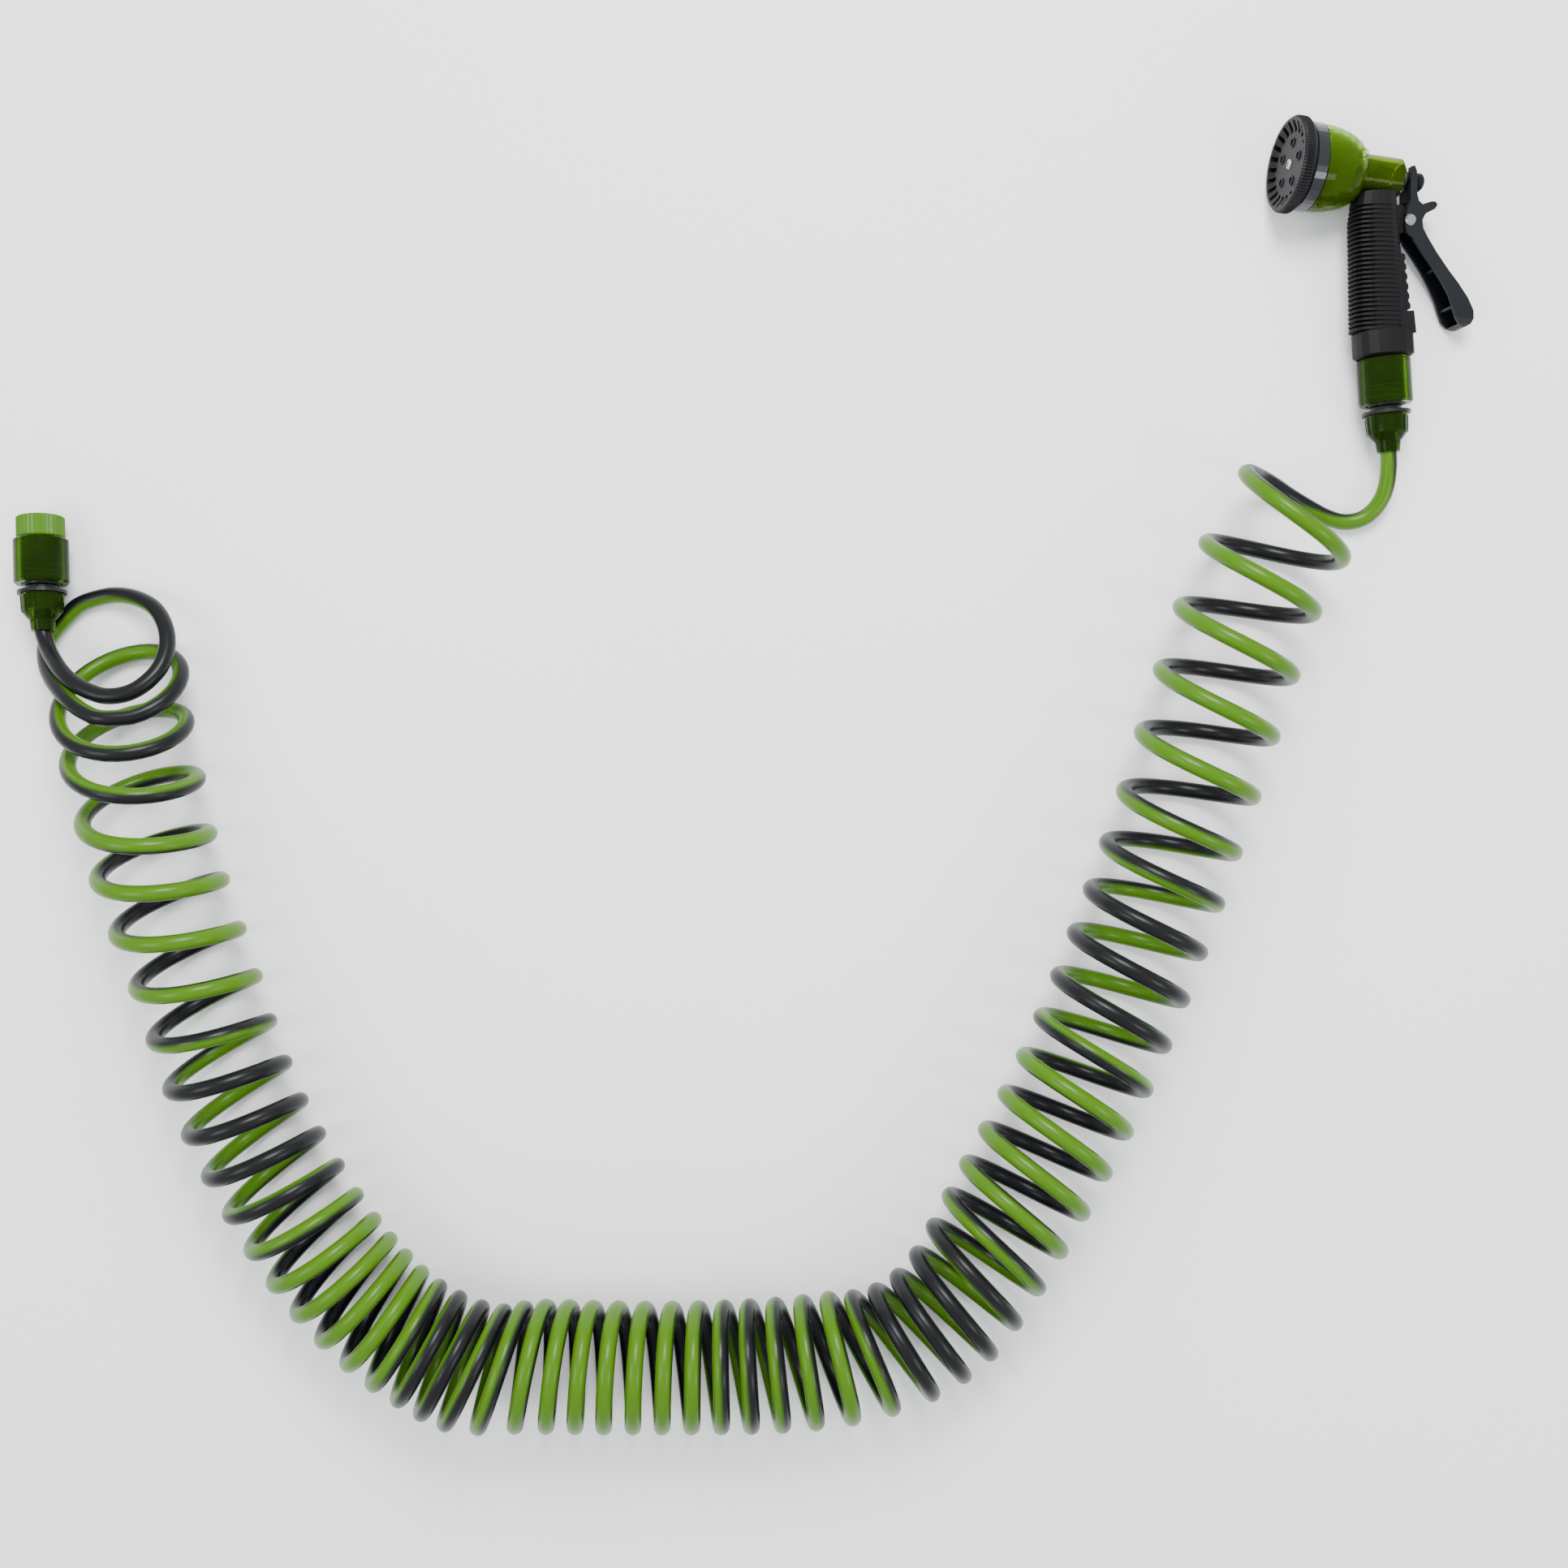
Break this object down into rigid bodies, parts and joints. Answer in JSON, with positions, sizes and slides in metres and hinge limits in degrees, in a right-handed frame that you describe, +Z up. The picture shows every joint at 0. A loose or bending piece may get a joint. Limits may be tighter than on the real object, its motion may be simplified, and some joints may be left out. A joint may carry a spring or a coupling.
{
  "type": "garden hose",
  "caption": "Coiled two-colour garden hose with a click-on tap connector at one end and a trigger spray gun with a turning dial at the other.",
  "frame": {"origin": "on the floor, under the middle of the box round the two end fittings and the gun", "axes": "+X from the tap end to the gun end, +Y from the bottom of the U towards the fittings, +Z up from the floor"},
  "size_m": [1.0286, 0.9127, 0.0979],
  "materials": {
    "hose": "gloss",
    "bright_green": "gloss",
    "clear_green": "gloss",
    "inner_black": "satin",
    "grip_black": "matte",
    "trigger_grey": "satin",
    "dial_black": "satin",
    "collar_gloss": "gloss",
    "seal": "matte",
    "steel": "satin"
  },
  "bodies": {
    "hose": {"hose_coil": "hose", "hose_tap_lead": "hose", "hose_gun_lead": "hose", "tap_hose_nut": "clear_green", "tap_connector_body": "inner_black", "gun_hose_nut": "clear_green", "gun_connector_body": "inner_black"},
    "tap_adaptor": {"tap_adaptor": "bright_green", "tap_washer": "seal"},
    "tap_sleeve": {"tap_sleeve": "clear_green"},
    "gun_sleeve": {"gun_sleeve": "clear_green"},
    "gun": {"gun_grip": "grip_black", "gun_barrel": "clear_green", "dial_collar": "collar_gloss", "stem_gland": "inner_black", "trigger_pin": "steel"},
    "dial": {"spray_dial": "dial_black", "dial_screw": "steel"},
    "valve_stem": {"valve_stem": "grip_black"},
    "trigger": {"trigger": "trigger_grey"}
  },
  "joints": [
    {"name": "tap_turn", "type": "hinge", "parent": "hose", "child": "tap_adaptor", "pos_m": [-0.4917, -0.1785, 0.024], "axis": [-0.0557, 0.9954, -0.0785], "continuous": true},
    {"name": "tap_sleeve_slide", "type": "slide", "parent": "hose", "child": "tap_sleeve", "axis": [0.0557, -0.9954, 0.0785], "range_m": [0, 0.004], "stiffness_N_per_m": 60},
    {"name": "gun_turn", "type": "hinge", "parent": "hose", "child": "gun", "pos_m": [0.4557, -0.0519, 0.0183], "axis": [-0.0697, 0.9971, 0.0297], "continuous": true},
    {"name": "gun_sleeve_slide", "type": "slide", "parent": "hose", "child": "gun_sleeve", "axis": [0.0697, -0.9971, -0.0297], "range_m": [0, 0.004], "stiffness_N_per_m": 60},
    {"name": "dial_turn", "type": "hinge", "parent": "gun", "child": "dial", "pos_m": [0.46133, 0.13946, 0.02095], "axis": [-0.9839, 0.0816, 0.1591], "continuous": true},
    {"name": "trigger_pull", "type": "hinge", "parent": "gun", "child": "trigger", "pos_m": [0.46678, 0.1097, 0.01952], "axis": [-0.1581, 0.0183, -0.9873], "range_deg": [0, 14], "stiffness_Nm_per_rad": 0.15, "springref_deg": -5.73},
    {"name": "valve_pull", "type": "slide", "parent": "gun", "child": "valve_stem", "axis": [0.9839, -0.0816, -0.1591], "range_m": [0, 0.0075]}
  ],
  "couplings": [
    {"joint": "valve_pull", "follows": "trigger_pull", "m_per_rad": 0.03}
  ]
}
